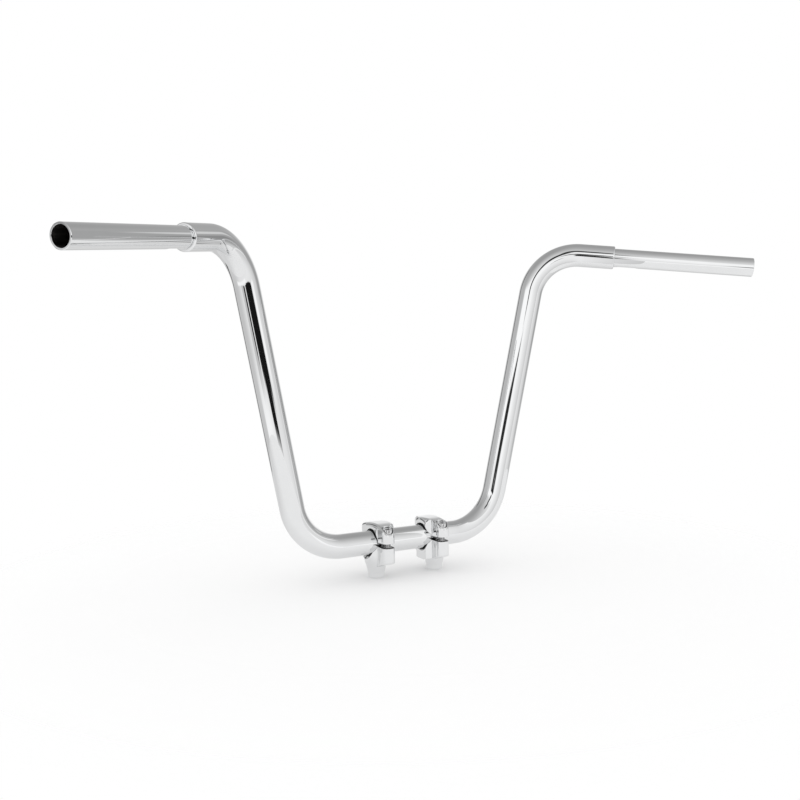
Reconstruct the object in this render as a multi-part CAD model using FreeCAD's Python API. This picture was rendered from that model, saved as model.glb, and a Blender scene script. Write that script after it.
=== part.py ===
"""Tall motorcycle handlebar: a bent main tube with stepped grip ends, held in two riser clamps.

+X points to the rider's right, +Y forward and +Z up. The origin lies midway between the two
riser stems, on the plane of their lower faces.
"""
import math
import os

import FreeCAD
import Part

Vector = FreeCAD.Vector

# Bar: tubes
tube_diameter = 31.75
shoulder_round = 1.8
largest_round_share = 0.75
collar_length = 47.1
grip_diameter = 25.4
grip_wall = 2.1
grip_edge_chamfer = 0.5
spigot_step = 0.25
spigot_clearance = 0.125
spigot_stop = 9.1
shoulder_relief = 0.6

# Bar: dimple for the wiring under each grip tube, beside the shoulder
dimple_length = 36.0
dimple_depth = 2.2
dimple_radius = 8.0

# Bar: bends, measured between the corner points of the centreline
bar_width = 889.0
bar_rise = 355.6
bar_pullback = 202.5
base_width = 283.0
shoulder_width = 442.0
shoulder_rise = 387.5
shoulder_setback = 21.0
lower_bend_radius = 70.0
upper_bend_radius = 63.5

# Clamps: places
riser_spacing = 88.9
stem_offset = 3.5
bar_shift = -9.5

# Clamps: stem, with its tapped hole plain at the tapping size
stem_diameter = 22.225
stem_length = 15.5
stem_chamfer = 0.8
stem_taper = 6.5
riser_hole_diameter = 10.8
riser_hole_depth = 21.0

# Clamps: body
bore_clearance = 0.05
mouth_chamfer = 3.0
block_reach = 17.5
block_margin = 0.6
block_bevel = 4.1
cap_land = 1.7
lip_flare = 5.3
lip_chamfer = 5.5
base_floor = 15.0
base_gap = 3.5
boss_rise = 8.0
boss_wall = 1.7
cap_gap = 2.2
crown_wall = 9.8
crown_drop = 3.6
front_slope_height = 8.5
hood_round = 5.5
edge_round = 1.0

# Clamps: screws
screw_diameter = 8.0
screw_length = 30.0
head_diameter = 13.0
head_height = 8.0
socket_width = 6.0
socket_depth = 4.0
screw_edge = 0.8
screw_hole_clearance = 0.3
thread_clearance = 0.05
head_clearance = 0.8
counterbore_depth = 9.6
screw_land = 7.2
thread_runout = 3.0

# Derived sizes
tube_radius = tube_diameter / 2
grip_radius = grip_diameter / 2
spigot_radius = grip_radius - spigot_step
spigot_length = collar_length - spigot_stop
socket_radius = spigot_radius + spigot_clearance
bore_radius = tube_radius + bore_clearance
axis_height = stem_length + base_floor + bore_radius
screw_radius = screw_diameter / 2
screw_offset = bore_radius + screw_land + screw_radius + screw_hole_clearance
screw_place = riser_spacing / 2 - stem_offset
counterbore_radius = head_diameter / 2 + head_clearance
boss_radius = counterbore_radius + boss_wall
boss_tip = screw_offset + boss_radius
stem_radius = stem_diameter / 2
lip_radius = stem_radius + lip_flare
lip_reach = stem_offset + lip_radius
base_bottom = -(bore_radius + base_floor)
cap_outer = -(boss_radius + cap_land)
crown_height = bore_radius + crown_wall
brow_height = crown_height - crown_drop
seat_height = brow_height - counterbore_depth
block_half_depth = bore_radius + block_margin
face_half_width = block_half_depth - block_bevel

X = Vector(1, 0, 0)
Z = Vector(0, 0, 1)
sameness = 0.01
overcut = 2 * (block_reach + boss_tip)


def ring_face(centre, direction, outer_radius, inner_radius):
    """Flat ring square to a tube's centreline."""
    outer = Part.Wire(Part.Circle(centre, direction, outer_radius).toShape())
    inner = Part.Wire(Part.Circle(centre, direction, inner_radius).toShape())
    return Part.makeFace([outer, inner], "Part::FaceMakerBullseye")


def bend_setback(incoming, outgoing, radius):
    """Distance from a corner of the centreline to the start of its bend."""
    return radius * math.tan(incoming.getAngle(outgoing) / 2)


def bent_tube(points, bend_radii, outer_radius, inner_radius):
    """Tube along straight runs joined by tangent bends."""
    runs = []
    start = points[0]
    for corner, following, radius in zip(points[1:-1], points[2:], bend_radii):
        incoming = (corner - start).normalize()
        outgoing = (following - corner).normalize()
        setback = bend_setback(incoming, outgoing, radius)
        bend_start = corner - incoming * setback
        axis = incoming.cross(outgoing).normalize()
        centre = bend_start + axis.cross(incoming) * radius
        straight = ring_face(start, incoming, outer_radius, inner_radius)
        runs.append(straight.extrude(bend_start - start))
        bend = ring_face(bend_start, incoming, outer_radius, inner_radius)
        runs.append(bend.revolve(centre, axis, math.degrees(incoming.getAngle(outgoing))))
        start = corner + outgoing * setback
    last = (points[-1] - start).normalize()
    runs.append(ring_face(start, last, outer_radius, inner_radius).extrude(points[-1] - start))
    return runs[0].fuse(runs[1:]).removeSplitter().Solids[0]


def circles_at(shape, centre, radius):
    """Edges of a shape that are circles of a radius about a centre."""
    found = []
    for edge in shape.Edges:
        if isinstance(edge.Curve, Part.Circle):
            same_place = edge.Curve.Center.isEqual(centre, sameness)
            if same_place and abs(edge.Curve.Radius - radius) < sameness:
                found.append(edge)
    return found


def bar_points(side):
    """Corner points of one half of the centreline, from the lower bend to the open grip end."""
    middle = Vector(bar_shift, 0, axis_height)
    lower = middle + Vector(side * base_width / 2, 0, 0)
    upper = middle + Vector(side * shoulder_width / 2, -shoulder_setback, shoulder_rise)
    end = middle + Vector(side * bar_width / 2, -bar_pullback, bar_rise)
    return lower, upper, end


def grip_direction(side):
    """Direction of one grip, outward."""
    lower, upper, end = bar_points(side)
    return (end - upper).normalize()


def shoulder_point(side):
    """Centre of the main tube's end face, at the end of the straight collar past the upper bend."""
    lower, upper, end = bar_points(side)
    outgoing = grip_direction(side)
    setback = bend_setback((upper - lower).normalize(), outgoing, upper_bend_radius)
    return upper + outgoing * (setback + collar_length)


def make_main_tube():
    left_lower, left_upper, left_end = bar_points(-1)
    right_lower, right_upper, right_end = bar_points(1)
    points = [shoulder_point(-1), left_upper, left_lower, right_lower, right_upper, shoulder_point(1)]
    radii = [upper_bend_radius, lower_bend_radius, lower_bend_radius, upper_bend_radius]
    tube = bent_tube(points, radii, tube_radius, socket_radius)
    rims = circles_at(tube, shoulder_point(-1), tube_radius) + circles_at(tube, shoulder_point(1), tube_radius)
    wall = tube_radius - socket_radius
    return tube.makeFillet(min(shoulder_round, largest_round_share * wall), rims)


def capsule(start, direction, length, radius):
    """Round-ended rod."""
    rod = Part.makeCylinder(radius, length, start, direction)
    return rod.fuse([Part.makeSphere(radius, start), Part.makeSphere(radius, start + direction * length)])


def make_grip_tube(side):
    direction = grip_direction(side)
    shoulder = shoulder_point(side)
    inner_end = shoulder - direction * spigot_length
    step = shoulder + direction * shoulder_relief
    outer_end = bar_points(side)[2]
    spigot = Part.makeCylinder(spigot_radius, (step - inner_end).Length, inner_end, direction)
    spigot = spigot.makeChamfer(grip_edge_chamfer, circles_at(spigot, inner_end, spigot_radius))
    grip = Part.makeCylinder(grip_radius, (outer_end - step).Length, step, direction)
    grip = grip.makeChamfer(grip_edge_chamfer, circles_at(grip, outer_end, grip_radius))
    outside = spigot.fuse(grip)
    inside = Part.makeCylinder(grip_radius - grip_wall, (outer_end - inner_end).Length, inner_end, direction)
    down = (direction * Z.dot(direction) - Z).normalize()
    press_axis = down * (grip_radius + dimple_radius - dimple_depth)
    press_start = shoulder + direction * dimple_radius + press_axis
    press_length = dimple_length - 2 * dimple_radius
    outside = outside.cut(capsule(press_start, direction, press_length, dimple_radius))
    inside = inside.cut(capsule(press_start, direction, press_length, dimple_radius + grip_wall))
    return outside.cut(inside).Solids[0]


def prism(points, direction):
    """Straight extrusion of a flat polygon."""
    return Part.Face(Part.makePolygon(points + points[:1])).extrude(direction)


def turned(profile):
    """Solid of revolution about the Z axis from a profile in the XZ plane."""
    return Part.Face(Part.makePolygon(profile + profile[:1])).revolve(Vector(), Z, 360)


def boss_slab(bottom, top):
    """Slab through both screw axes, round about each of them."""
    sides = []
    ends = []
    for way in (1, -1):
        first = Vector(way * boss_radius, way * screw_offset, bottom)
        tip = Vector(0, way * boss_tip, bottom)
        last = Vector(-way * boss_radius, way * screw_offset, bottom)
        following = Vector(-way * boss_radius, -way * screw_offset, bottom)
        ends.append(Part.Arc(first, tip, last).toShape())
        sides.append(Part.makeLine(last, following))
    outline = Part.Wire([ends[0], sides[0], ends[1], sides[1]])
    return Part.Face(outline).extrude(Z * (top - bottom))


def is_face_corner(edge):
    """Upright edge beside the block's inner end face."""
    box = edge.BoundBox
    return box.XMin > block_reach - sameness and box.ZLength > box.YLength


def block(bottom, top, outer_land):
    """Block around the bar, bevelled from its inner end face towards the screw bosses."""
    half = []
    half.append(Vector(-boss_radius - outer_land, block_half_depth - outer_land, bottom))
    half.append(Vector(-boss_radius, block_half_depth, bottom))
    half.append(Vector(boss_radius, block_half_depth, bottom))
    half.append(Vector(block_reach, face_half_width, bottom))
    if outer_land == 0:
        half = half[1:]
    mirrored = [Vector(corner.x, -corner.y, corner.z) for corner in reversed(half)]
    shape = prism(half + mirrored, Z * (top - bottom))
    return shape.makeFillet(edge_round, [edge for edge in shape.Edges if is_face_corner(edge)])


def bar_bore(outer_end, outer_chamfer):
    """Bore for the bar with a flared mouth at the inner face and at the outer end."""
    bore = Part.makeCylinder(bore_radius, overcut, X * (-overcut / 2), X)
    inner_radius = bore_radius + mouth_chamfer
    outer_radius = bore_radius + outer_chamfer
    inner_mouth = Part.makeCone(inner_radius, bore_radius, mouth_chamfer, X * block_reach, X * -1)
    outer_mouth = Part.makeCone(outer_radius, bore_radius, outer_chamfer, X * outer_end, X)
    return bore.fuse([inner_mouth, outer_mouth])


def screw_columns(radius, bottom, top):
    """Upright cylinders on the two screw axes."""
    columns = []
    for way in (1, -1):
        columns.append(Part.makeCylinder(radius, top - bottom, Vector(0, way * screw_offset, bottom), Z))
    return columns


def underside():
    """Space above the base's lower face, which rises from the stem to the tip of each boss."""
    tip = base_bottom + boss_rise
    start = X * (-overcut / 2)
    corners = [
        Vector(0, -boss_tip, tip), Vector(0, -face_half_width, base_bottom),
        Vector(0, face_half_width, base_bottom), Vector(0, boss_tip, tip),
        Vector(0, boss_tip, 0), Vector(0, -boss_tip, 0),
    ]
    return prism([start + corner for corner in corners], X * overcut)


def make_base():
    """Lower half of the left clamp about its screw plane, with the bar's axis along X."""
    top = -base_gap
    foot = base_bottom - stem_length
    body = boss_slab(base_bottom, top).fuse(block(base_bottom, top, 0)).common(underside())
    stem = turned([
        Vector(0, 0, foot), Vector(stem_radius - stem_chamfer, 0, foot),
        Vector(stem_radius, 0, foot + stem_chamfer), Vector(stem_radius, 0, base_bottom - stem_taper),
        Vector(lip_radius, 0, -(bore_radius + lip_chamfer)), Vector(lip_radius, 0, top), Vector(0, 0, top),
    ])
    stem.translate(X * -stem_offset)
    riser_hole = Part.makeCylinder(riser_hole_diameter / 2, riser_hole_depth, Vector(-stem_offset, 0, foot), Z)
    thread_bottom = seat_height - screw_length - thread_runout
    threads = screw_columns(screw_radius + thread_clearance, thread_bottom, 0)
    body = body.fuse(stem).removeSplitter()
    return body.cut([bar_bore(-lip_reach, lip_chamfer), riser_hole] + threads).removeSplitter().Solids[0]


def cap_roof():
    """Crowned top of the cap, round along its outer edge and eased along its inner one."""
    crown_radius = (screw_offset ** 2 + crown_drop ** 2) / (2 * crown_drop)
    half_turn = math.degrees(math.atan2(boss_tip + hood_round, crown_radius - crown_height))
    round_sag = hood_round * (1 - math.sqrt(0.5))
    round_start = Vector(cap_outer, 0, crown_height - hood_round)
    round_middle = Vector(cap_outer + round_sag, 0, crown_height - round_sag)
    round_end = Vector(cap_outer + hood_round, 0, crown_height)
    hood = Part.Arc(round_start, round_middle, round_end).toShape()
    rest = Part.makePolygon([
        round_end, Vector(block_reach - edge_round, 0, crown_height),
        Vector(block_reach, 0, crown_height - edge_round), Vector(block_reach, 0, 0),
        Vector(cap_outer, 0, 0), round_start,
    ])
    profile = Part.Face(Part.Wire([hood] + rest.Edges))
    centre = Vector(0, 0, crown_height - crown_radius)
    profile.rotate(centre, X, -half_turn)
    return profile.revolve(centre, X, 2 * half_turn)


def front_slopes():
    """Wedges taken off the top of the two bosses, from the screw axis down to the tip."""
    wedges = []
    start = X * (-overcut / 2)
    for way in (1, -1):
        brow = Vector(0, way * screw_offset, brow_height)
        past_tip = brow + Vector(0, way * 2 * boss_radius, -2 * front_slope_height)
        corners = [brow, past_tip, past_tip + Z * overcut, brow + Z * overcut]
        wedges.append(prism([start + corner for corner in corners], X * overcut))
    return wedges


def make_cap():
    """Upper half of the left clamp about its screw plane, with the bar's axis along X."""
    body = boss_slab(cap_gap, crown_height).fuse(block(cap_gap, crown_height, cap_land)).removeSplitter()
    cuts = front_slopes() + [bar_bore(cap_outer, mouth_chamfer)]
    cuts += screw_columns(screw_radius + screw_hole_clearance, 0, crown_height)
    cuts += screw_columns(counterbore_radius, seat_height, overcut)
    return body.common(cap_roof()).cut(cuts).Solids[0]


def make_screw():
    """Socket head cap screw, standing with the underside of its head at the origin."""
    head_radius = head_diameter / 2
    screw = turned([
        Vector(0, 0, -screw_length), Vector(screw_radius - screw_edge, 0, -screw_length),
        Vector(screw_radius, 0, screw_edge - screw_length), Vector(screw_radius, 0, 0),
        Vector(head_radius, 0, 0), Vector(head_radius, 0, head_height - screw_edge),
        Vector(head_radius - screw_edge, 0, head_height), Vector(0, 0, head_height),
    ])
    corner_radius = socket_width / math.sqrt(3)
    corners = []
    for n in range(6):
        turn = math.radians(60 * n)
        corners.append(Vector(corner_radius * math.cos(turn), corner_radius * math.sin(turn), head_height))
    return screw.cut(prism(corners, Z * -socket_depth)).Solids[0]


def place(shape, side):
    """Puts a piece of the left clamp on the bar, mirrored for the right one."""
    placed = shape.copy()
    placed.translate(Vector(-screw_place, 0, axis_height))
    if side > 0:
        placed = placed.mirror(Vector(), X)
    return placed


def make_screws():
    screws = []
    for side in (-1, 1):
        for way in (-1, 1):
            screw = make_screw()
            screw.translate(Vector(0, way * screw_offset, seat_height))
            screws.append(place(screw, side))
    return Part.makeCompound(screws)


base = make_base()
cap = make_cap()
pieces = {
    "main_tube": make_main_tube(),
    "left_grip_tube": make_grip_tube(-1),
    "right_grip_tube": make_grip_tube(1),
    "left_clamp_base": place(base, -1),
    "right_clamp_base": place(base, 1),
    "left_clamp_cap": place(cap, -1),
    "right_clamp_cap": place(cap, 1),
    "clamp_screws": make_screws(),
}

os.makedirs("parts", exist_ok=True)
for name, shape in pieces.items():
    shape.exportStep("parts/" + name + ".step")
    print(name, "solids", len(shape.Solids), "valid", shape.isValid(), "volume", round(shape.Volume, 1))
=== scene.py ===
"""Looks of a tall chrome motorcycle handlebar in two riser clamps, in metres."""
import math

import bpy
import numpy as np
from mathutils import Matrix, Vector


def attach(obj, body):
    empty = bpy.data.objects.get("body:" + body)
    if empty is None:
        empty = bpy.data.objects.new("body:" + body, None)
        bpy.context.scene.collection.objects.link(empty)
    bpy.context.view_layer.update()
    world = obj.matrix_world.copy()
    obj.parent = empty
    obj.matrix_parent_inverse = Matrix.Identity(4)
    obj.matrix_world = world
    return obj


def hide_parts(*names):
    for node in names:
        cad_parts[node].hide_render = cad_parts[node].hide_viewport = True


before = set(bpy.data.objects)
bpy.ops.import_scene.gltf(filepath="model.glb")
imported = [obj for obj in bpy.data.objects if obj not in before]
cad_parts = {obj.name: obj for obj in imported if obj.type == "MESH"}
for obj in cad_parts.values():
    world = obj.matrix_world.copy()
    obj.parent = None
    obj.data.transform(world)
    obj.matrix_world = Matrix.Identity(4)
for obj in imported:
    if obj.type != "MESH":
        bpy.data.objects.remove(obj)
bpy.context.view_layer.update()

mm = 0.001

# Sizes of the bar in millimetres
tube_radius = 15.875
socket_radius = 12.575
shoulder_round = 1.8
collar_length = 47.1
grip_radius = 12.7
grip_wall = 2.1
grip_edge = 0.5
spigot_radius = 12.45
spigot_length = 38.0
shoulder_relief = 0.6
dimple_length = 36.0
dimple_depth = 2.2
dimple_radius = 8.0
dimple_softness = 0.5
bar_width = 889.0
bar_rise = 355.6
bar_pullback = 202.5
base_width = 283.0
shoulder_width = 442.0
shoulder_rise = 387.5
shoulder_setback = 21.0
lower_bend_radius = 70.0
upper_bend_radius = 63.5
bar_shift = -9.5

# Sizes of the clamps in millimetres
stem_offset = 3.5
stem_radius = 11.1125
stem_length = 15.5
stem_chamfer = 0.8
stem_taper = 6.5
riser_hole_radius = 5.4
riser_hole_depth = 21.0
riser_thread_pitch = 1.75
riser_thread_depth = 0.9
bore_radius = 15.925
mouth_chamfer = 3.0
block_reach = 17.5
block_margin = 0.6
block_bevel = 4.1
cap_land = 1.7
lip_flare = 5.3
lip_chamfer = 5.5
base_floor = 15.0
base_gap = 3.5
boss_rise = 8.0
boss_radius = 9.0
cap_gap = 2.2
crown_wall = 9.8
crown_drop = 3.6
front_slope_height = 8.5
arch_wall = 9.3
screw_offset = 27.425
screw_place = 40.95
counterbore_radius = 7.3
counterbore_depth = 9.6
screw_hole_radius = 4.3
thread_hole_radius = 4.05
thread_runout = 3.0
# How far the painted shade reaches out of the base's bore
base_dark_mouth = 2.0

# Rounds on the edges of the clamps in millimetres
edge_round = 1.0
bevel_round = 2.0
land_round = 0.6
mouth_round = 0.3
bore_round = 0.45
split_round = 0.5
hole_round = 0.2
thread_hole_round = 0.3
counterbore_round = 0.35
boss_fillet = 1.5
belly_round = 3.0
body_round = 1.5
cup_round = 2.0
cup_fillet = 1.2
stem_fillet = 2.5
stem_top_round = 0.5
foot_round = 0.2
foot_chamfer_round = 0.3
hood_round = 5.5
brow_round = 1.5
roof_round = 1.2
arch_round = 3.0

# Sizes of the screws in millimetres
screw_radius = 4.0
screw_length = 30.0
screw_pitch = 1.25
screw_thread_depth = 0.6
screw_edge = 0.8
head_radius = 6.5
head_height = 8.0
socket_width = 6.0
socket_depth = 4.0

# Sizes that follow from these
axis_height = stem_length + base_floor + bore_radius
base_bottom = -(bore_radius + base_floor)
foot = base_bottom - stem_length
lip_radius = stem_radius + lip_flare
lip_reach = stem_offset + lip_radius
boss_tip = screw_offset + boss_radius
cap_outer = -(boss_radius + cap_land)
crown_height = bore_radius + crown_wall
brow_height = crown_height - crown_drop
seat_height = brow_height - counterbore_depth
crown_radius = (screw_offset ** 2 + crown_drop ** 2) / (2 * crown_drop)
block_half_depth = bore_radius + block_margin
face_half_width = block_half_depth - block_bevel

# Grey values between which most of a noise lies
noise_low = 0.3
noise_high = 0.7


# Materials
def new_material(name):
    material = bpy.data.materials.new(name)
    material.use_nodes = True
    tree = material.node_tree
    return material, tree, tree.nodes["Principled BSDF"]


def noise(tree, source, scale, detail, stretch=(1, 1, 1)):
    """Noise over stretched coordinates, as a grey value."""
    mapping = tree.nodes.new("ShaderNodeMapping")
    mapping.inputs["Scale"].default_value = stretch
    texture = tree.nodes.new("ShaderNodeTexNoise")
    texture.inputs["Scale"].default_value = scale
    texture.inputs["Detail"].default_value = detail
    tree.links.new(source, mapping.inputs["Vector"])
    tree.links.new(mapping.outputs["Vector"], texture.inputs["Vector"])
    return texture.outputs["Fac"]


def spread(tree, value, low, high, start=noise_low, end=noise_high):
    """Maps a grey value to a range."""
    node = tree.nodes.new("ShaderNodeMapRange")
    node.inputs["From Min"].default_value = start
    node.inputs["From Max"].default_value = end
    node.inputs["To Min"].default_value = low
    node.inputs["To Max"].default_value = high
    tree.links.new(value, node.inputs["Value"])
    return node.outputs["Result"]


def two_tones(tree, value, first, second):
    """Colour between two tones."""
    ramp = tree.nodes.new("ShaderNodeValToRGB")
    ramp.color_ramp.elements[0].color = (*first, 1)
    ramp.color_ramp.elements[0].position = noise_low
    ramp.color_ramp.elements[1].color = (*second, 1)
    ramp.color_ramp.elements[1].position = noise_high
    tree.links.new(value, ramp.inputs["Fac"])
    return ramp.outputs["Color"]


def bump(tree, value, distance, strength):
    node = tree.nodes.new("ShaderNodeBump")
    node.inputs["Strength"].default_value = strength
    node.inputs["Distance"].default_value = distance
    tree.links.new(value, node.inputs["Height"])
    return node.outputs["Normal"]


def polished_chrome(name, tones, roughness, marks_from, polish_stretch, wave_scale, wave_height):
    """Plated chrome with faint polishing marks, a slow waviness and a slight cloudiness."""
    cloud_scale = 14
    cloud_detail = 3
    mark_scale = 260
    mark_detail = 4
    wave_detail = 1
    wave_strength = 0.35
    material, tree, shader = new_material(name)
    place = tree.nodes.new("ShaderNodeTexCoord")
    clouds = noise(tree, place.outputs["Object"], cloud_scale, cloud_detail)
    marks = noise(tree, place.outputs[marks_from], mark_scale, mark_detail, polish_stretch)
    waves = noise(tree, place.outputs["Object"], wave_scale, wave_detail)
    shader.inputs["Metallic"].default_value = 1
    tree.links.new(two_tones(tree, clouds, *tones), shader.inputs["Base Color"])
    tree.links.new(spread(tree, marks, *roughness), shader.inputs["Roughness"])
    tree.links.new(bump(tree, waves, wave_height, wave_strength), shader.inputs["Normal"])
    return material


def raw_steel(name, tones, streaks_from, scale, stretch):
    """Dull, streaked steel, used unplated inside the tubes and near-black as painted shade in the clamps'
    gaps.
    """
    roughness = (0.3, 0.55)
    streak_detail = 5
    streak_height = 0.05 * mm
    streak_strength = 0.5
    material, tree, shader = new_material(name)
    place = tree.nodes.new("ShaderNodeTexCoord")
    streaks = noise(tree, place.outputs[streaks_from], scale, streak_detail, stretch)
    shader.inputs["Metallic"].default_value = 1
    tree.links.new(two_tones(tree, streaks, *tones), shader.inputs["Base Color"])
    tree.links.new(spread(tree, streaks, *roughness), shader.inputs["Roughness"])
    tree.links.new(bump(tree, streaks, streak_height, streak_strength), shader.inputs["Normal"])
    return material


def cut_thread(name, pitch, depth):
    """Oily steel with the ridges of a thread about an upright axis."""
    tones = ((0.1, 0.098, 0.095), (0.22, 0.215, 0.21))
    roughness = (0.25, 0.45)
    oil_scale = 400
    oil_detail = 3
    # Length of one band of the wave texture at a scale of 1
    band_length = math.pi / 10
    material, tree, shader = new_material(name)
    place = tree.nodes.new("ShaderNodeTexCoord")
    ridges = tree.nodes.new("ShaderNodeTexWave")
    ridges.bands_direction = "Z"
    ridges.wave_profile = "TRI"
    ridges.inputs["Scale"].default_value = band_length / pitch
    ridges.inputs["Distortion"].default_value = 0
    tree.links.new(place.outputs["Object"], ridges.inputs["Vector"])
    oil = noise(tree, place.outputs["Object"], oil_scale, oil_detail)
    shader.inputs["Metallic"].default_value = 1
    tree.links.new(two_tones(tree, oil, *tones), shader.inputs["Base Color"])
    tree.links.new(spread(tree, oil, *roughness), shader.inputs["Roughness"])
    tree.links.new(bump(tree, ridges.outputs["Fac"], depth, 1), shader.inputs["Normal"])
    return material


bar_chrome = polished_chrome(
    "bar_chrome", tones=((0.77, 0.775, 0.78), (0.81, 0.815, 0.82)), roughness=(0.01, 0.035),
    marks_from="UV", polish_stretch=(1, 0.02, 1), wave_scale=9, wave_height=0.06 * mm)
clamp_chrome = polished_chrome(
    "clamp_chrome", tones=((0.77, 0.775, 0.78), (0.82, 0.825, 0.83)), roughness=(0.015, 0.045),
    marks_from="Object", polish_stretch=(1, 1, 0.3), wave_scale=45, wave_height=0.03 * mm)
screw_chrome = polished_chrome(
    "screw_chrome", tones=((0.62, 0.62, 0.625), (0.7, 0.7, 0.705)), roughness=(0.08, 0.16),
    marks_from="Object", polish_stretch=(1, 1, 0.3), wave_scale=120, wave_height=0.02 * mm)
tube_inside = raw_steel(
    "tube_inside", tones=((0.13, 0.125, 0.12), (0.3, 0.29, 0.28)),
    streaks_from="UV", scale=90, stretch=(1, 0.08, 1))
# Near-black steel that paints the shade in the clamps' bore mouths, split faces and screw-head gaps
painted_shade_steel = raw_steel(
    "painted_shade_steel", tones=((0.012, 0.012, 0.012), (0.05, 0.05, 0.05)),
    streaks_from="Object", scale=300, stretch=(0.1, 1, 1))
thread_steel = cut_thread("thread_steel", riser_thread_pitch * mm, riser_thread_depth * mm)


# Meshes
def add_object(name, mesh):
    item = bpy.data.objects.new(name, mesh)
    bpy.context.scene.collection.objects.link(item)
    return item


def smooth(mesh):
    mesh.polygons.foreach_set("use_smooth", [True] * len(mesh.polygons))


def turn_angles(count):
    return [2 * math.pi * n / count for n in range(count + 1)]


def piece_from_rings(name, rings, angles, lengths, inside_rings, sharp_angle):
    """Closed tube through rings of equal count, with the last ring joined to the first."""
    count = len(rings[0])
    vertices = [point * mm for ring in rings for point in ring]
    faces = []
    for r in range(len(rings)):
        low = r * count
        high = (r + 1) % len(rings) * count
        for n in range(count):
            beside = (n + 1) % count
            faces.append((low + n, low + beside, high + beside, high + n))
    mesh = bpy.data.meshes.new(name)
    mesh.from_pydata(vertices, [], faces)
    mesh.materials.append(bar_chrome)
    mesh.materials.append(tube_inside)
    layer = mesh.uv_layers.new(name="UVMap")
    for polygon in mesh.polygons:
        r = polygon.index // count
        n = polygon.index % count
        following = (r + 1) % len(rings)
        ends = (lengths[r], lengths[r], lengths[following], lengths[following])
        sides = (angles[n], angles[n + 1], angles[n + 1], angles[n])
        for loop, side, end in zip(polygon.loop_indices, sides, ends):
            layer.data[loop].uv = (side * tube_radius * mm, end * mm)
        if r in inside_rings:
            polygon.material_index = 1
    smooth(mesh)
    mesh.set_sharp_from_angle(angle=math.radians(sharp_angle))
    return add_object(name, mesh)


# Main tube
def bar_points(side):
    """Corner points of one half of the centreline."""
    middle = Vector((bar_shift, 0, axis_height))
    lower = middle + Vector((side * base_width / 2, 0, 0))
    upper = middle + Vector((side * shoulder_width / 2, -shoulder_setback, shoulder_rise))
    end = middle + Vector((side * bar_width / 2, -bar_pullback, bar_rise))
    return lower, upper, end


def grip_direction(side):
    upper, end = bar_points(side)[1:]
    return (end - upper).normalized()


def shoulder_point(side):
    lower, upper = bar_points(side)[:2]
    outgoing = grip_direction(side)
    turn = (upper - lower).angle(outgoing)
    return upper + outgoing * (upper_bend_radius * math.tan(turn / 2) + collar_length)


def centreline(points, radii, bend_step, run_step):
    """Points and directions along straight runs and tangent bends."""
    stations = []
    start = points[0]

    def add_run(run_start, run_end):
        direction = (run_end - run_start).normalized()
        length = (run_end - run_start).length
        parts = max(1, round(length / run_step))
        for n in range(parts + 1):
            stations.append((run_start + direction * (length * n / parts), direction))

    for corner, following, radius in zip(points[1:-1], points[2:], radii):
        incoming = (corner - start).normalized()
        outgoing = (following - corner).normalized()
        turn = incoming.angle(outgoing)
        setback = radius * math.tan(turn / 2)
        bend_start = corner - incoming * setback
        axis = incoming.cross(outgoing).normalized()
        centre = bend_start + axis.cross(incoming) * radius
        add_run(start, bend_start)
        parts = round(math.degrees(turn) / bend_step)
        for n in range(1, parts):
            rotation = Matrix.Rotation(turn * n / parts, 3, axis)
            stations.append((centre + rotation @ (bend_start - centre), rotation @ incoming))
        start = corner + outgoing * setback
    add_run(start, points[-1])
    return stations


def carried_normals(stations):
    """One direction square to the centreline at each station, carried along without twist."""
    normals = []
    normal = Vector((0, 0, 1))
    for _, direction in stations:
        normal = (normal - direction * normal.dot(direction)).normalized()
        normals.append(normal)
    return normals


def ring_about(point, direction, normal, radius, angles):
    across = direction.cross(normal)
    return [point + (normal * math.cos(a) + across * math.sin(a)) * radius for a in angles[:-1]]


def make_main_tube():
    """Hollow tube, meshed out from its bore over the rounded left end to the rounded right end."""
    bend_step = 2.0
    run_step = 12.0
    sides = 112
    round_steps = 7
    support_gap = 0.4
    sharp_angle = 40
    left_lower, left_upper = bar_points(-1)[:2]
    right_lower, right_upper = bar_points(1)[:2]
    points = [shoulder_point(-1), left_upper, left_lower, right_lower, right_upper, shoulder_point(1)]
    radii = [upper_bend_radius, lower_bend_radius, lower_bend_radius, upper_bend_radius]
    stations = centreline(points, radii, bend_step, run_step)
    normals = carried_normals(stations)
    angles = turn_angles(sides)
    rings = []
    lengths = []
    inside_rings = set()
    travelled = [0.0]
    for before, after in zip(stations, stations[1:]):
        travelled.append(travelled[-1] + (after[0] - before[0]).length)

    def add(n, offset, radius):
        point, direction = stations[n]
        rings.append(ring_about(point + direction * offset, direction, normals[n], radius, angles))
        lengths.append(travelled[n] + offset)

    def add_shoulder(n, way, turns):
        """Rounded end of the tube, with the way that leads to the middle."""
        for turn in turns:
            offset = way * shoulder_round * (1 - math.sin(turn))
            add(n, offset, tube_radius - shoulder_round * (1 - math.cos(turn)))

    last = len(stations) - 1
    support = shoulder_round + support_gap
    turns = [math.pi / 2 * n / round_steps for n in range(round_steps + 1)]
    for n in reversed(range(len(stations))):
        inside_rings.add(len(rings))
        add(n, 0, socket_radius)
    inside_rings.discard(len(rings) - 1)
    add_shoulder(0, 1, reversed(turns))
    add(0, support, tube_radius)
    for n in range(1, last):
        add(n, 0, tube_radius)
    add(last, -support, tube_radius)
    add_shoulder(last, -1, turns)
    return piece_from_rings("bent_main_tube", rings, angles, lengths, inside_rings, sharp_angle)


# Grip tubes
def soft_least(a, b, softness):
    """The lesser of two lengths, eased where they are nearly the same."""
    blend = max(softness - abs(a - b), 0) / softness
    return min(a, b) - blend * blend * softness / 4


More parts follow.
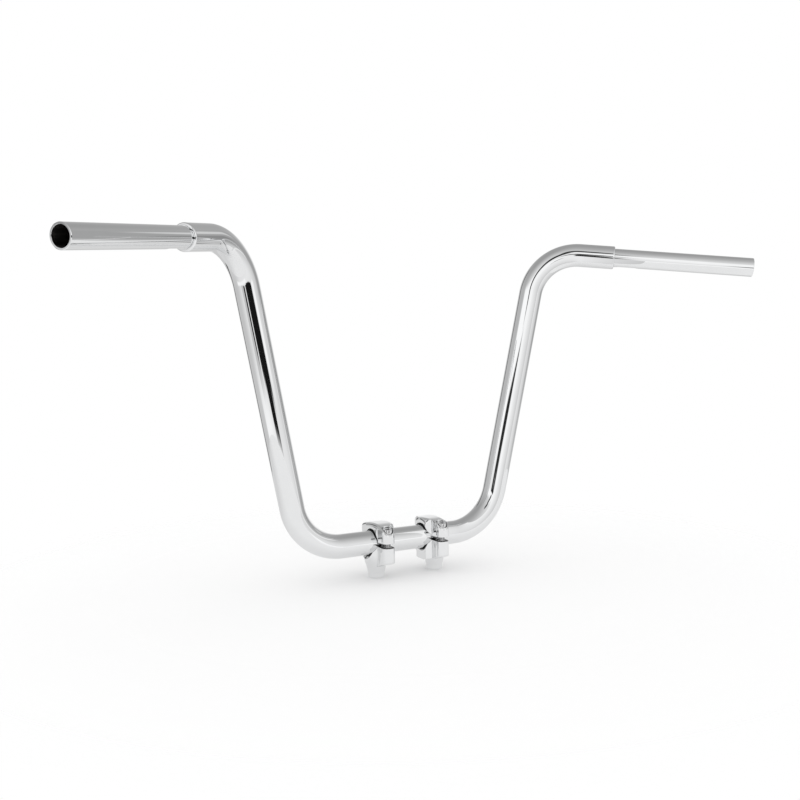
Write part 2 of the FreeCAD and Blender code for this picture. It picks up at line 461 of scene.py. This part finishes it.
def pressed_radius(plain, along, angle, press_radius):
    """Radius of a tube wall where a round-ended press has dented it."""
    centre = grip_radius + dimple_radius - dimple_depth
    beyond = max(dimple_radius - along, along - (dimple_length - dimple_radius), 0)
    if beyond >= press_radius:
        return plain
    across = press_radius ** 2 - beyond ** 2 - (centre * math.sin(angle)) ** 2
    if across <= 0 or math.cos(angle) <= 0:
        return plain
    return soft_least(plain, centre * math.cos(angle) - math.sqrt(across), dimple_softness)


def make_grip_tube(side, name):
    """Hollow tube with a spigot, meshed along its outside and back through its bore."""
    sides = 160
    corner = 0.1
    fine_step = 0.4
    runs = 12
    support_gap = 0.3
    bore_edge = 0.2
    sharp_angle = 32
    direction = grip_direction(side)
    shoulder = shoulder_point(side)
    length = (bar_points(side)[2] - shoulder).length
    down = (direction * direction.z - Vector((0, 0, 1))).normalized()
    across = direction.cross(down)
    angles = turn_angles(sides)
    bore = grip_radius - grip_wall
    fine_count = int(dimple_length / fine_step)
    edge_start = length - grip_edge
    plain_length = edge_start - dimple_length
    bore_length = length - dimple_length
    outer = [(-spigot_length, spigot_radius - grip_edge), (grip_edge - spigot_length, spigot_radius)]
    outer += [(shoulder_relief, spigot_radius), (shoulder_relief, grip_radius - corner)]
    outer += [(shoulder_relief + corner, grip_radius)]
    outer += [(shoulder_relief + fine_step * n, grip_radius) for n in range(1, fine_count + 1)]
    outer += [(dimple_length + plain_length * n / runs, grip_radius) for n in range(1, runs)]
    outer += [(edge_start - support_gap, grip_radius), (edge_start, grip_radius)]
    outer += [(length, grip_radius - grip_edge)]
    inner = [(length, bore + bore_edge), (length - bore_edge, bore)]
    inner += [(dimple_length + bore_length * n / runs, bore) for n in reversed(range(runs))]
    inner += [(fine_step * n, bore) for n in reversed(range(fine_count))]
    inner += [(-spigot_length, bore)]
    rings = []
    lengths = []
    for n, (along, radius) in enumerate(outer + inner):
        press_radius = dimple_radius if n < len(outer) else dimple_radius + grip_wall
        ring = []
        for angle in angles[:-1]:
            wall = pressed_radius(radius, along, angle, press_radius)
            spoke = down * math.cos(angle) + across * math.sin(angle)
            ring.append(shoulder + direction * along + spoke * wall)
        rings.append(ring)
        lengths.append(along)
    inside_rings = set(range(len(outer) + 1, len(rings) - 1))
    return piece_from_rings(name, rings, angles, lengths, inside_rings, sharp_angle)


# Clamp forms as distance fields in millimetres, about the bar's axis in the left clamp's screw plane
def round_meet(a, b, radius):
    """What lies in both forms, with the edge between them rounded."""
    corner = np.hypot(np.maximum(a + radius, 0), np.maximum(b + radius, 0))
    return np.minimum(np.maximum(a, b), -radius) + corner


def round_join(a, b, radius):
    """What lies in either form, with a hollow fillet between them."""
    corner = np.hypot(np.maximum(radius - a, 0), np.maximum(radius - b, 0))
    return np.maximum(np.minimum(a, b), radius) - corner


def round_cut(a, b, radius):
    """What lies in the first form and not in the second."""
    return round_meet(a, -b, radius)


def slope(across, up, start, end):
    """Distance from a straight line, positive on its right."""
    run = end[0] - start[0]
    rise = end[1] - start[1]
    return ((across - start[0]) * rise - (up - start[1]) * run) / math.hypot(run, rise)


def boss_plan(x, y):
    """Both screw bosses and what lies between them, seen from above."""
    return np.hypot(x, np.maximum(np.abs(y) - screw_offset, 0)) - boss_radius


def block_plan(x, y, land):
    """Block about the bar, seen from above, with bevelled corners."""
    side = np.abs(y)
    inner_bevel = slope(side, x, (block_half_depth, boss_radius), (face_half_width, block_reach))
    plan = round_meet(side - block_half_depth, inner_bevel, bevel_round)
    plan = round_meet(plan, x - block_reach, edge_round)
    if land == 0:
        return round_meet(plan, -boss_radius - x, edge_round)
    outer_bevel = (side - block_half_depth + (-boss_radius - x)) / math.sqrt(2)
    return round_meet(round_meet(plan, outer_bevel, land_round), -boss_radius - land - x, land_round)


def bar_bore(x, y, z, outer_end, outer_chamfer):
    """Bore for the bar, with a chamfer at each mouth."""
    away = np.hypot(y, z)
    inner_mouth = (away - bore_radius - (x - block_reach + mouth_chamfer)) / math.sqrt(2)
    outer_mouth = (away - bore_radius - (outer_end + outer_chamfer - x)) / math.sqrt(2)
    return round_join(round_join(away - bore_radius, inner_mouth, mouth_round), outer_mouth, mouth_round)


def screw_column(x, y, radius):
    """Upright cylinders about both screws."""
    return np.hypot(x, np.abs(y) - screw_offset) - radius


def riser_hole(x, y, z):
    """Blind hole in the foot of the stem."""
    return np.maximum(np.hypot(x + stem_offset, y) - riser_hole_radius, z - foot - riser_hole_depth)


def base_field(x, y, z):
    """Lower half of the clamp, with its cup and stem."""
    top = z + base_gap
    side = np.abs(y)
    plan = round_join(boss_plan(x, y), block_plan(x, y, 0), boss_fillet)
    under = slope(side, z, (face_half_width, base_bottom), (boss_tip, base_bottom + boss_rise))
    under = round_meet(under, base_bottom - z, belly_round)
    body = round_meet(round_meet(plan, under, body_round), top, split_round)
    away = np.hypot(x + stem_offset, y)
    foot_edge = (away - stem_radius + stem_chamfer + foot - z) / math.sqrt(2)
    stem = round_meet(away - stem_radius, foot_edge, foot_chamfer_round)
    stem = round_meet(stem, foot - z, foot_round)
    stem = round_meet(stem, top + bore_radius, stem_top_round)
    cup_bottom = base_bottom - stem_taper
    flare = slope(away, z, (stem_radius, cup_bottom), (lip_radius, -(bore_radius + lip_chamfer)))
    cup = round_meet(round_meet(away - lip_radius, flare, cup_round), top, split_round)
    cup = np.maximum(cup, cup_bottom - z)
    solid = round_join(round_join(body, cup, cup_fillet), stem, stem_fillet)
    solid = round_cut(solid, bar_bore(x, y, z, -lip_reach, lip_chamfer), bore_round)
    solid = round_cut(solid, riser_hole(x, y, z), hole_round)
    thread_bottom = seat_height - screw_length - thread_runout
    thread = np.maximum(screw_column(x, y, thread_hole_radius), thread_bottom - z)
    return round_cut(solid, thread, thread_hole_round)


def cap_field(x, y, z):
    """Cap of the clamp, with a hood that ends in an arch, two bosses and their counterbores."""
    side = np.abs(y)
    plan = round_join(boss_plan(x, y), block_plan(x, y, cap_land), boss_fillet)
    crown = np.hypot(y, z - crown_height + crown_radius) - crown_radius
    roof = round_meet(crown, cap_outer - x, hood_round)
    roof = round_meet(roof, x - block_reach, edge_round)
    front = -slope(side, z, (screw_offset, brow_height), (boss_tip, brow_height - front_slope_height))
    roof = round_meet(roof, front, brow_round)
    arch = (np.hypot(y, z) - bore_radius - arch_wall - (block_reach - x)) / math.sqrt(2)
    hood = round_meet(round_meet(plan, roof, roof_round), arch, arch_round)
    boss = round_meet(screw_column(x, y, boss_radius), roof, roof_round)
    solid = round_meet(np.minimum(hood, boss), cap_gap - z, split_round)
    solid = round_cut(solid, bar_bore(x, y, z, cap_outer, mouth_chamfer), bore_round)
    solid = round_cut(solid, screw_column(x, y, screw_hole_radius), hole_round)
    counterbore = np.maximum(screw_column(x, y, counterbore_radius), seat_height - z)
    return round_cut(solid, counterbore, counterbore_round)


# Clamp meshes from the distance fields
def cell_crossings(values):
    """Sum and count of the places where the surface crosses the edges of each cell."""
    cells = tuple(n - 1 for n in values.shape)
    total = np.zeros(cells + (3,))
    hits = np.zeros(cells)

    def corner(offset):
        return values[tuple(slice(o, o + n) for o, n in zip(offset, cells))]

    for axis in range(3):
        others = [n for n in range(3) if n != axis]
        for first in (0, 1):
            for second in (0, 1):
                near = [0, 0, 0]
                near[others[0]] = first
                near[others[1]] = second
                far = list(near)
                far[axis] = 1
                a = corner(near)
                b = corner(far)
                crossing = (a < 0) != (b < 0)
                share = np.where(crossing, a / np.where(crossing, a - b, 1), 0)
                hits += crossing
                for n in range(3):
                    offset = share if n == axis else near[n]
                    total[..., n] += crossing * offset
    return total, hits


def cell_faces(inside, index):
    """Four-sided faces, one about each grid edge that the surface crosses."""
    faces = []
    for axis in range(3):
        others = [n for n in range(3) if n != axis]
        ahead = [slice(None)] * 3
        behind = [slice(None)] * 3
        ahead[axis] = slice(1, None)
        behind[axis] = slice(None, -1)
        rising = inside[tuple(behind)] & ~inside[tuple(ahead)]
        falling = ~inside[tuple(behind)] & inside[tuple(ahead)]
        for crossing, outward in ((rising, 1), (falling, -1)):
            found = np.argwhere(crossing)
            ring = []
            for first, second in ((-1, -1), (0, -1), (0, 0), (-1, 0)):
                place = found.copy()
                place[:, others[0]] += first
                place[:, others[1]] += second
                ring.append(index[place[:, 0], place[:, 1], place[:, 2]])
            quads = np.stack(ring, axis=1)
            if outward * (-1 if axis == 1 else 1) < 0:
                quads = quads[:, ::-1]
            faces.append(quads)
    return np.concatenate(faces)


def gradient_of(field, points):
    probe = 0.02
    gradient = np.zeros_like(points)
    for axis in range(3):
        shift = np.zeros(3)
        shift[axis] = probe
        gradient[:, axis] = (field(*(points + shift).T) - field(*(points - shift).T)) / (2 * probe)
    return gradient


def surface_of(field, low, high):
    """Points, outward normals and four-sided faces of a distance field's surface."""
    cell = 0.5
    settling_rounds = 5
    least_steepness = 0.25
    least_length = 0.01
    axes = [np.arange(a - cell, b + 2 * cell, cell) for a, b in zip(low, high)]
    values = field(*np.meshgrid(*axes, indexing="ij"))
    total, hits = cell_crossings(values)
    used = hits > 0
    index = np.full(used.shape, -1)
    index[used] = np.arange(used.sum())
    places = np.argwhere(used)
    starts = np.array([axis[0] for axis in axes])
    points = starts + cell * (places + total[used] / hits[used][:, None])
    faces = cell_faces(values < 0, index)
    for _ in range(settling_rounds):
        gradient = gradient_of(field, points)
        steepness = np.maximum((gradient ** 2).sum(axis=1), least_steepness)
        move = np.clip(field(*points.T) / steepness, -cell / 2, cell / 2)
        points = points - gradient * move[:, None]
    normals = gradient / np.maximum(np.linalg.norm(gradient, axis=1), least_length)[:, None]
    return points, normals, faces


def clamp_piece(name, surface, side, outer_end, outer_chamfer, split_height, dark_mouth):
    """Clamp half, with shade painted as near-black steel in the bore, on the split face and in the gap round
    the screw heads.
    """
    skin = 0.04
    points, normals, faces = surface
    x, y, z = points[faces].mean(axis=1).T
    # Painted shade: faces in the bore mouths, on the split face and in the gap round each screw head below
    # its top
    in_bore = np.abs(bar_bore(x, y, z, outer_end, outer_chamfer)) < skin
    in_bore &= np.hypot(y, z) < bore_radius + dark_mouth
    on_split = np.abs(z - split_height) < skin
    in_gap = screw_column(x, y, counterbore_radius) < skin
    in_gap &= (z > seat_height - skin) & (z < seat_height + head_height - screw_edge)
    painted_shade = in_bore | on_split | in_gap
    threaded = np.abs(riser_hole(x, y, z)) < skin
    flip = np.array([-side, 1, 1])
    placed = (points + np.array([-screw_place, 0, axis_height])) * flip * mm
    quads = faces if side < 0 else faces[:, ::-1]
    mesh = bpy.data.meshes.new(name)
    mesh.from_pydata(placed.tolist(), [], quads.tolist())
    for material in (clamp_chrome, painted_shade_steel, thread_steel):
        mesh.materials.append(material)
    mesh.polygons.foreach_set("material_index", np.where(threaded, 2, painted_shade.astype(int)).tolist())
    smooth(mesh)
    mesh.normals_split_custom_set_from_vertices((normals * flip).tolist())
    return add_object(name, mesh)


# Screws
def screw_rings():
    """Heights and radii of a threaded screw with a six-sided socket, from the tip to the socket's floor."""
    centre_radius = 0.05
    tip_bevel = 0.2
    thread_end = 2.0
    thread_steps = 8
    thread_flank = 2.4
    neck_depth = 0.1
    neck_length = 0.3
    neck_fillet = 0.2
    head_bevel = 0.3
    head_steps = 5
    mouth_radius = 3.75
    mouth_bevel = 0.35
    drill_depth = 0.5
    corner = math.radians(30)
    tip = screw_edge - screw_length
    socket_floor = head_height - socket_depth
    thread_rings = round((screw_length - screw_edge - thread_end) / screw_pitch * thread_steps)
    rings = []

    def add_round(height, radius):
        rings.append((height, lambda angle: radius))

    def add_thread(height):
        def radius(angle):
            phase = (height / screw_pitch - angle / (2 * math.pi)) % 1
            return screw_radius - screw_thread_depth * min(1, abs(phase - 0.5) * thread_flank)

        rings.append((height, radius))

    def six_sided(angle):
        return socket_width / 2 / math.cos((angle + corner) % (2 * corner) - corner)

    add_round(-screw_length, centre_radius)
    add_round(-screw_length, screw_radius - screw_edge - tip_bevel)
    add_round(tip, screw_radius - screw_thread_depth)
    for n in range(thread_rings):
        add_thread(tip + (n + 1) * screw_pitch / thread_steps)
    add_round(-thread_end / 2, screw_radius - neck_depth)
    add_round(-neck_length, screw_radius - neck_depth)
    add_round(0, screw_radius + neck_fillet)
    add_round(0, head_radius - head_bevel)
    add_round(head_bevel, head_radius)
    for n in range(head_steps + 1):
        turn = math.pi / 2 * n / head_steps
        height = head_height - screw_edge * (1 - math.sin(turn))
        add_round(height, head_radius - screw_edge * (1 - math.cos(turn)))
    rings.append((head_height, lambda angle: max(six_sided(angle), mouth_radius)))
    rings.append((head_height - mouth_bevel, six_sided))
    rings.append((socket_floor, six_sided))
    add_round(socket_floor - drill_depth, centre_radius)
    return rings


def make_screws():
    """All four screws as one mesh."""
    name = "clamp_screw_set"
    sides = 48
    sharp_angle = 35
    angles = turn_angles(sides)[:-1]
    rings = screw_rings()
    vertices = []
    faces = []
    for side in (-1, 1):
        for way in (-1, 1):
            first = len(vertices)
            last = first + (len(rings) - 1) * sides
            middle = Vector((side * screw_place, way * screw_offset, axis_height + seat_height))
            for height, radius in rings:
                for angle in angles:
                    out = radius(angle)
                    spoke = Vector((out * math.cos(angle), out * math.sin(angle), height))
                    vertices.append((middle + spoke) * mm)
            for low in range(first, last, sides):
                high = low + sides
                for n in range(sides):
                    beside = (n + 1) % sides
                    faces.append((low + n, low + beside, high + beside, high + n))
            faces.append(tuple(reversed(range(first, first + sides))))
            faces.append(tuple(range(last, last + sides)))
    mesh = bpy.data.meshes.new(name)
    mesh.from_pydata(vertices, [], faces)
    mesh.materials.append(screw_chrome)
    smooth(mesh)
    mesh.set_sharp_from_angle(angle=math.radians(sharp_angle))
    return add_object(name, mesh)


# Pieces in the frame
def dress(piece, node):
    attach(piece, "root")
    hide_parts(node)


dress(make_main_tube(), "main_tube")
dress(make_grip_tube(-1, "left_grip_end"), "left_grip_tube")
dress(make_grip_tube(1, "right_grip_end"), "right_grip_tube")
base_low = (-lip_reach, -boss_tip, foot)
base_high = (block_reach, boss_tip, -base_gap)
base_surface = surface_of(base_field, base_low, base_high)
cap_low = (cap_outer, -boss_tip, cap_gap)
cap_high = (block_reach, boss_tip, crown_height)
cap_surface = surface_of(cap_field, cap_low, cap_high)
for side, place in ((-1, "left"), (1, "right")):
    lower = clamp_piece(
        place + "_clamp_lower_half", base_surface, side, -lip_reach, lip_chamfer, -base_gap, base_dark_mouth)
    dress(lower, place + "_clamp_base")
    upper = clamp_piece(
        place + "_clamp_upper_half", cap_surface, side, cap_outer, mouth_chamfer, cap_gap, mouth_chamfer)
    dress(upper, place + "_clamp_cap")
dress(make_screws(), "clamp_screws")


# Studio: white floor that keeps the shadow and fades out at its rim, with a paler front in reflections
def make_floor():
    radius = 0.65
    sides = 96
    front_tone = 1
    back_tone = 0.62
    front_edge = -0.1
    back_edge = 0.2
    glow_share = 0.5
    fade_start = 0.6 * radius
    fade_end = 0.98 * radius
    rim = [(radius * math.cos(a), radius * math.sin(a), 0) for a in turn_angles(sides)[:-1]]
    mesh = bpy.data.meshes.new("floor")
    mesh.from_pydata(rim, [], [tuple(range(sides))])
    material, tree, shader = new_material("floor_white")
    nodes = tree.nodes
    links = tree.links
    nodes.remove(shader)
    place = nodes.new("ShaderNodeTexCoord")
    parts = nodes.new("ShaderNodeSeparateXYZ")
    links.new(place.outputs["Object"], parts.inputs["Vector"])
    light = nodes.new("ShaderNodeLightPath")
    white = nodes.new("ShaderNodeBsdfDiffuse")
    white.inputs["Color"].default_value = (1, 1, 1, 1)
    glow = nodes.new("ShaderNodeEmission")
    tone = spread(tree, parts.outputs["Y"], front_tone, back_tone, front_edge, back_edge)
    links.new(tone, glow.inputs["Strength"])
    seen = nodes.new("ShaderNodeMixShader")
    links.new(spread(tree, light.outputs["Is Glossy Ray"], 0, glow_share, 0, 1), seen.inputs["Fac"])
    links.new(white.outputs["BSDF"], seen.inputs[1])
    links.new(glow.outputs["Emission"], seen.inputs[2])
    reach = nodes.new("ShaderNodeVectorMath")
    reach.operation = "LENGTH"
    links.new(place.outputs["Object"], reach.inputs[0])
    fade = nodes.new("ShaderNodeMixShader")
    clear = nodes.new("ShaderNodeBsdfTransparent")
    gone = nodes.new("ShaderNodeMath")
    gone.operation = "MULTIPLY"
    links.new(spread(tree, reach.outputs["Value"], 0, 1, fade_start, fade_end), gone.inputs[0])
    links.new(light.outputs["Is Camera Ray"], gone.inputs[1])
    links.new(gone.outputs["Value"], fade.inputs["Fac"])
    links.new(seen.outputs["Shader"], fade.inputs[1])
    links.new(clear.outputs["BSDF"], fade.inputs[2])
    links.new(fade.outputs["Shader"], nodes["Material Output"].inputs["Surface"])
    mesh.materials.append(material)
    floor = add_object("floor", mesh)


make_floor()


# Studio: pale card beside the right upright, seen only in reflections
def make_reflector():
    card_front = -0.15
    left_tone = 1.1
    right_tone = 0.72
    low_left = (0.084, card_front, 0.03)
    low_right = (0.22, card_front, 0.03)
    high_right = (0.296, card_front, 0.4)
    high_left = (0.16, card_front, 0.4)
    mesh = bpy.data.meshes.new("reflector")
    mesh.from_pydata([low_left, low_right, high_right, high_left], [], [(0, 1, 2, 3)])
    layer = mesh.uv_layers.new(name="UVMap")
    for loop, place in enumerate(((0, 0), (1, 0), (1, 1), (0, 1))):
        layer.data[loop].uv = place
    material, tree, shader = new_material("reflector_white")
    tree.nodes.remove(shader)
    across = tree.nodes.new("ShaderNodeSeparateXYZ")
    tree.links.new(tree.nodes.new("ShaderNodeTexCoord").outputs["UV"], across.inputs["Vector"])
    glow = tree.nodes.new("ShaderNodeEmission")
    tree.links.new(spread(tree, across.outputs["X"], left_tone, right_tone, 0, 1), glow.inputs["Strength"])
    tree.links.new(glow.outputs["Emission"], tree.nodes["Material Output"].inputs["Surface"])
    mesh.materials.append(material)
    card = add_object("reflector", mesh)
    card.visible_camera = False
    card.visible_diffuse = False
    card.visible_transmission = False
    card.visible_shadow = False


make_reflector()


# Studio: surroundings that the chrome shows, with pale walls, a grey ceiling, soft boxes and dark flags
def make_world():
    world = bpy.data.worlds.new("studio")
    world.use_nodes = True
    bpy.context.scene.world = world
    tree = world.node_tree
    nodes = tree.nodes
    links = tree.links

    def math_node(operation, first, second=None, third=None):
        node = nodes.new("ShaderNodeMath")
        node.operation = operation
        for socket, value in zip(node.inputs, (first, second, third)):
            if value is None:
                continue
            if isinstance(value, (int, float)):
                socket.default_value = value
            else:
                links.new(value, socket)
        return node.outputs["Value"]

    def edge(distance, half, softness):
        """1 within a half width, falling softly to 0 outside it."""
        node = nodes.new("ShaderNodeMapRange")
        node.interpolation_type = "SMOOTHSTEP"
        node.inputs["From Min"].default_value = math.radians(half + softness)
        node.inputs["From Max"].default_value = math.radians(half - softness)
        links.new(distance, node.inputs["Value"])
        return node.outputs["Result"]

    place = nodes.new("ShaderNodeTexCoord")
    parts = nodes.new("ShaderNodeSeparateXYZ")
    links.new(place.outputs["Generated"], parts.inputs["Vector"])
    azimuth = math_node("ARCTAN2", parts.outputs["X"], parts.outputs["Y"])
    elevation = math_node("ARCSINE", parts.outputs["Z"])

    def wall(tones):
        """Tone of a wall from the floor to the ceiling."""
        ramp = nodes.new("ShaderNodeValToRGB")
        while len(ramp.color_ramp.elements) < len(tones):
            ramp.color_ramp.elements.new(0.5)
        for element, (height, tone) in zip(ramp.color_ramp.elements, tones):
            element.position = (height + 90) / 180
            element.color = (tone, tone, tone, 1)
        links.new(math_node("MULTIPLY_ADD", elevation, 1 / math.pi, 0.5), ramp.inputs["Fac"])
        return ramp.outputs["Color"]

    def mixed(share, first, second):
        mix = nodes.new("ShaderNodeMix")
        mix.data_type = "RGBA"
        links.new(share, mix.inputs["Factor"])
        for name, value in (("A", first), ("B", second)):
            if isinstance(value, float):
                mix.inputs[name].default_value = (value, value, value, 1)
            else:
                links.new(value, mix.inputs[name])
        return mix.outputs["Result"]

    def away_from(direction):
        """Angle to either side of a compass direction."""
        turned = math_node("SUBTRACT", azimuth, math.radians(direction))
        return math_node("WRAP", turned, math.pi, -math.pi)

    def past(distance, half):
        """How far a distance goes past a half width, in radians."""
        return math_node("MAXIMUM", math_node("SUBTRACT", distance, math.radians(half)), 0)

    # Walls: height in degrees and tone
    front_wall = [
        (-90, 0.88), (-40, 0.95), (-22, 1.0), (0, 0.92), (14, 0.95),
        (30, 0.82), (48, 0.66), (65, 0.52), (90, 0.42),
    ]
    back_wall = [
        (-90, 0.8), (-40, 0.74), (-20, 0.7), (0, 0.62), (15, 0.58),
        (30, 0.5), (48, 0.41), (65, 0.4), (90, 0.42),
    ]
    front_direction = -170
    front_half_width = 75
    front_softness = 35
    front = edge(math_node("ABSOLUTE", away_from(front_direction)), front_half_width, front_softness)
    tone = mixed(front, wall(back_wall), wall(front_wall))

    # Soft boxes and flags: compass direction, height, half width, half height, softness, slant, tone
    panels = [
        (-118, 15, 34, 8, 5, 0, 1.2),
        (-168, 3, 24, 14, 6, 0, 1.15),
        (-125, -25, 42, 4.5, 3, 0, 1.15),
        (36, 6, 22, 15, 6, 0, 0.92),
        (-18, 2, 5, 34, 3, 0, 0.06),
        (84, 10, 18, 24, 7, 0, 0.44),
        (82.5, 5, 5.5, 5.5, 1.5, 0, 0.32),
        (81, 23, 5, 5, 2, 0, 0.75),
        (80.5, -15, 1.8, 9, 1, 0, 0.85),
        (66, -29, 8, 2.2, 1.2, 1, 0.3),
        (147, 0, 9, 4.5, 2, -0.1, 1.15),
        (-128, -15.5, 14, 3.8, 1.5, -0.1, 0.66),
        (-174.5, -8.4, 25.5, 4.5, 1.2, -0.16, 0.01),
        (-173.5, -10.3, 16, 6.3, 1.2, -0.16, 0.01),
        (-130, 6.8, 14.5, 3.8, 1.2, 0, 0.03),
        (-142, 34, 6.5, 6.5, 1.5, 0, 0.04),
        (-136, 22.5, 5.5, 9.5, 1.2, 0, 0.05),
        (-136.5, -6.5, 6, 10.5, 0.8, 0, 0.03),
        (-60, 2, 30, 3, 1.5, 0, 0.05),
    ]
    roundness = 0.7
    for direction, height, half_width, half_height, softness, slant, strength in panels:
        aside = away_from(direction)
        level = math_node("MULTIPLY_ADD", aside, slant, math.radians(height))
        above = math_node("SUBTRACT", elevation, level)
        corner = roundness * min(half_width, half_height)
        across = past(math_node("ABSOLUTE", aside), half_width - corner)
        upright = past(math_node("ABSOLUTE", above), half_height - corner)
        square = math_node("MULTIPLY_ADD", across, across, math_node("MULTIPLY", upright, upright))
        share = edge(math_node("SQRT", square), corner, softness)
        tone = mixed(share, tone, strength)

    light = nodes.new("ShaderNodeLightPath")
    shown = mixed(light.outputs["Is Glossy Ray"], 1.0, tone)
    links.new(shown, nodes["Background"].inputs["Color"])
    nodes["Background"].inputs["Strength"].default_value = 1


make_world()


# Camera at the photograph's viewing angle
def make_camera():
    place = (-0.5750058, -1.0548995, 0.2865293)
    right = Vector((0.87882997, -0.47675174, -0.01912221))
    up = Vector((0.03828192, 0.03050647, 0.99880121))
    forward = Vector((0.47559686, 0.87850847, -0.04506098))
    focal_length = 40.521
    sensor_width = 36
    nearest = 0.01
    data = bpy.data.cameras.new("camera")
    data.lens = focal_length
    data.sensor_width = sensor_width
    data.clip_start = nearest
    camera = add_object("camera", data)
    rotation = Matrix((right, up, -forward)).transposed()
    camera.matrix_world = Matrix.Translation(place) @ rotation.to_4x4()
    bpy.context.scene.camera = camera


make_camera()
bpy.context.scene.view_settings.view_transform = "Standard"
